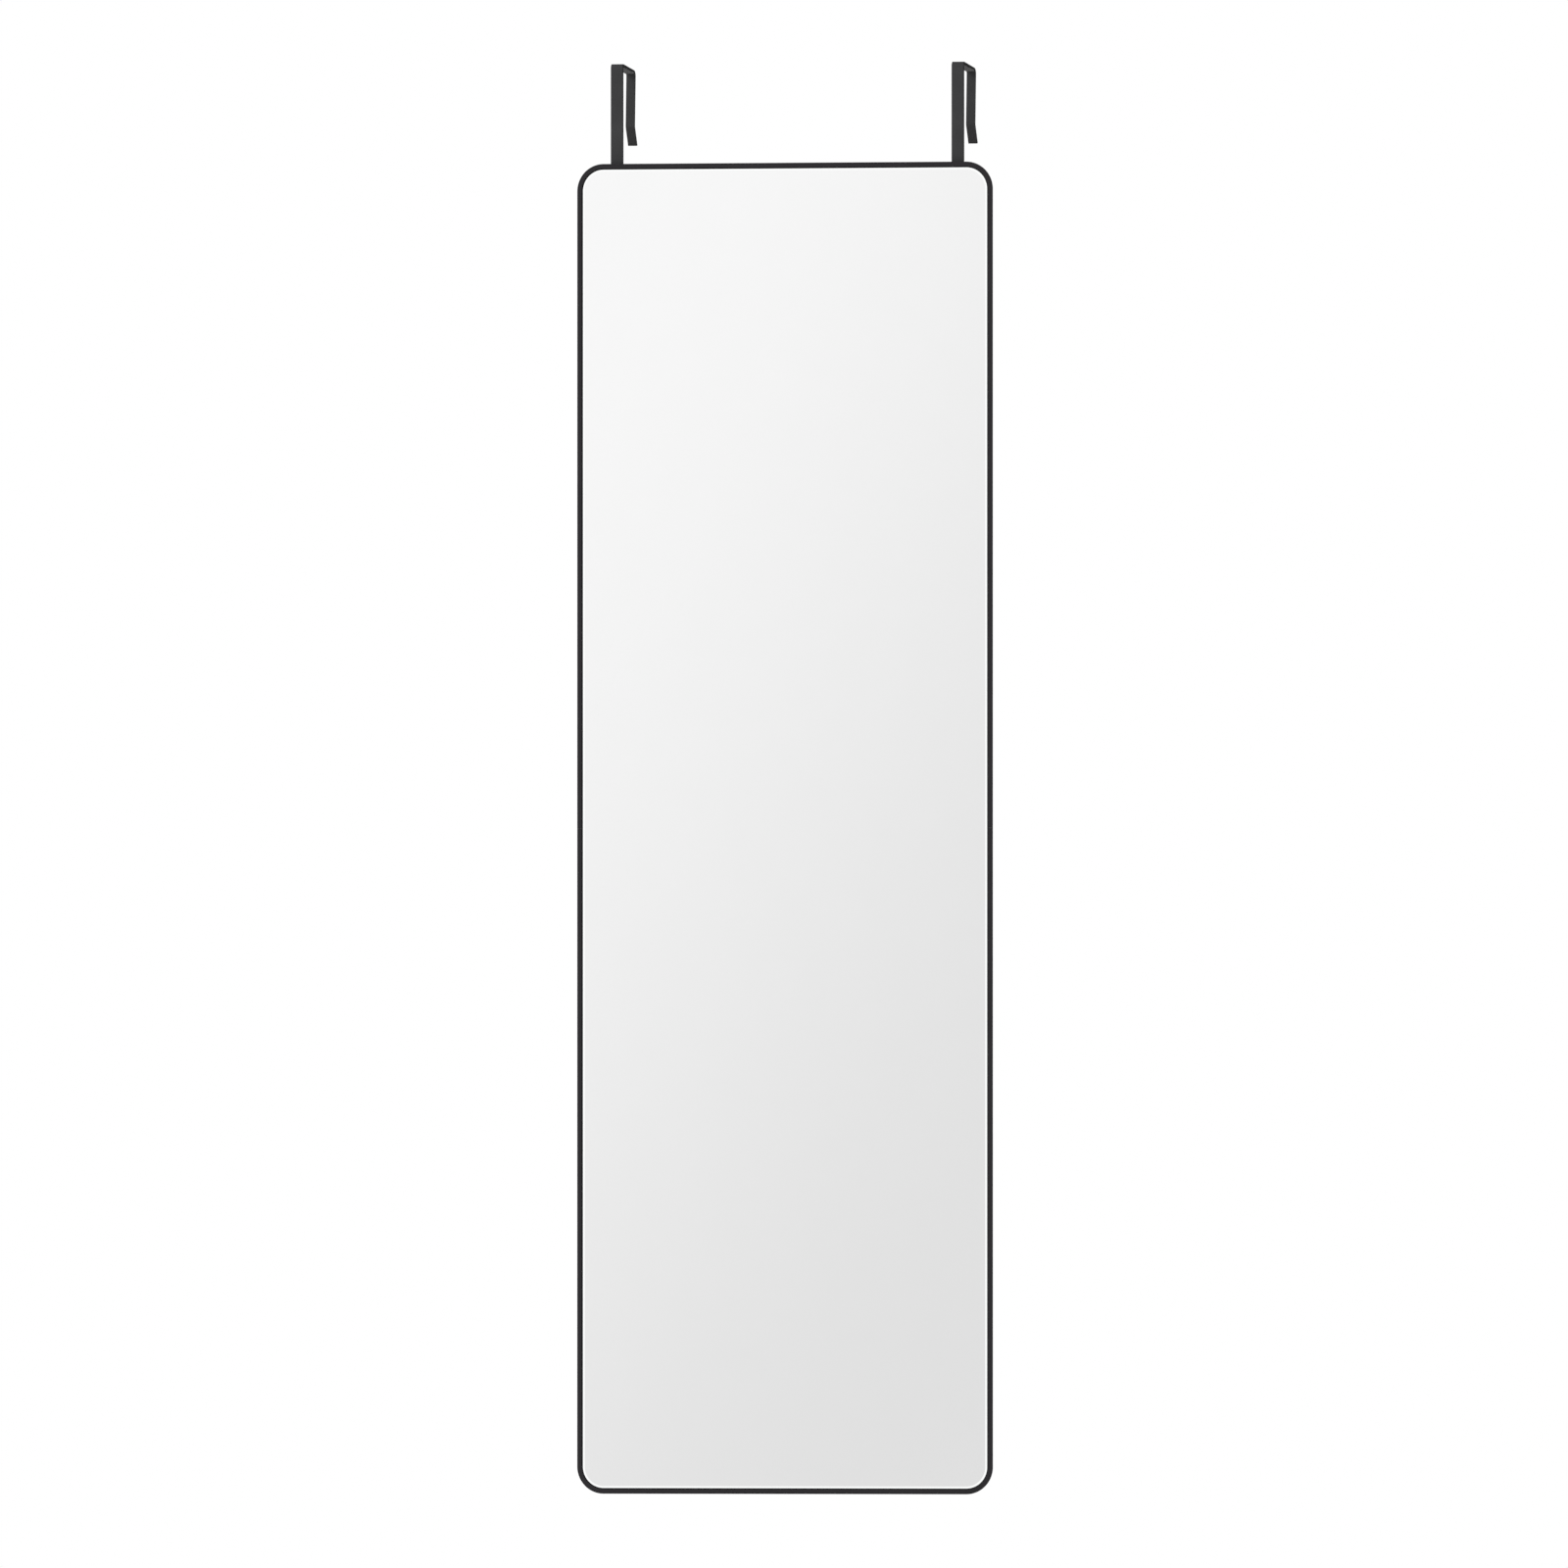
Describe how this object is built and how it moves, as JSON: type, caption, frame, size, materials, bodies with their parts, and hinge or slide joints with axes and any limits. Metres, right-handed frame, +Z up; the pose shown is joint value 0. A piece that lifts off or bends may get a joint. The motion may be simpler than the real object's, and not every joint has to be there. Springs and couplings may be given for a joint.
{
  "type": "over the door mirror",
  "caption": "Slim framed full-length mirror with rounded corners, hung over a door's top on padded strap hooks that slide in rear sleeves to set its height.",
  "frame": {"origin": "on the door's top front edge, midway between the hooks: Y = 0 is the door's front face, and the seat pads meet the door's top at Z = 0", "axes": "+Z up, the glass faces -Y, +Y into the door, +X to the right for someone looking into the mirror"},
  "size_m": [0.41, 0.0689, 1.3656],
  "materials": {
    "frame_coat": "satin black powder coat on an aluminium bar",
    "strap_coat": "satin black powder coat on steel strip",
    "key_metal": "mill finish",
    "silvered_glass": "silvered float glass with a ground edge",
    "film": "thin adhesive film",
    "tape": "double-sided foam tape",
    "board": "hardboard",
    "zinc_steel": "bright zinc plate",
    "foam": "closed-cell foam",
    "rubber": "moulded rubber"
  },
  "bodies": {
    "mirror": {"frame_upper": "frame_coat", "frame_lower": "frame_coat", "joiner_key_left": "key_metal", "joiner_key_right": "key_metal", "ledge_screws": "zinc_steel", "mirror_glass": "silvered_glass", "safety_film": "film", "bonding_tape": "tape", "backing_board": "board", "left_bracket": "strap_coat", "left_bracket_screws": "zinc_steel", "left_clinch_nut": "zinc_steel", "left_clamp_screw": "zinc_steel", "right_bracket": "strap_coat", "right_bracket_screws": "zinc_steel", "right_clinch_nut": "zinc_steel", "right_clamp_screw": "zinc_steel", "left_bumper": "rubber", "right_bumper": "rubber"},
    "left_hook": {"left_hook": "strap_coat", "left_strap_pad": "foam", "left_seat_pad": "foam"},
    "right_hook": {"right_hook": "strap_coat", "right_strap_pad": "foam", "right_seat_pad": "foam"}
  },
  "joints": [
    {"name": "left_hook_slide", "type": "slide", "parent": "mirror", "child": "left_hook", "axis": [0, 0, 1], "range_m": [0, 0.05]},
    {"name": "right_hook_slide", "type": "slide", "parent": "mirror", "child": "right_hook", "axis": [0, 0, 1], "range_m": [0, 0.05]}
  ]
}
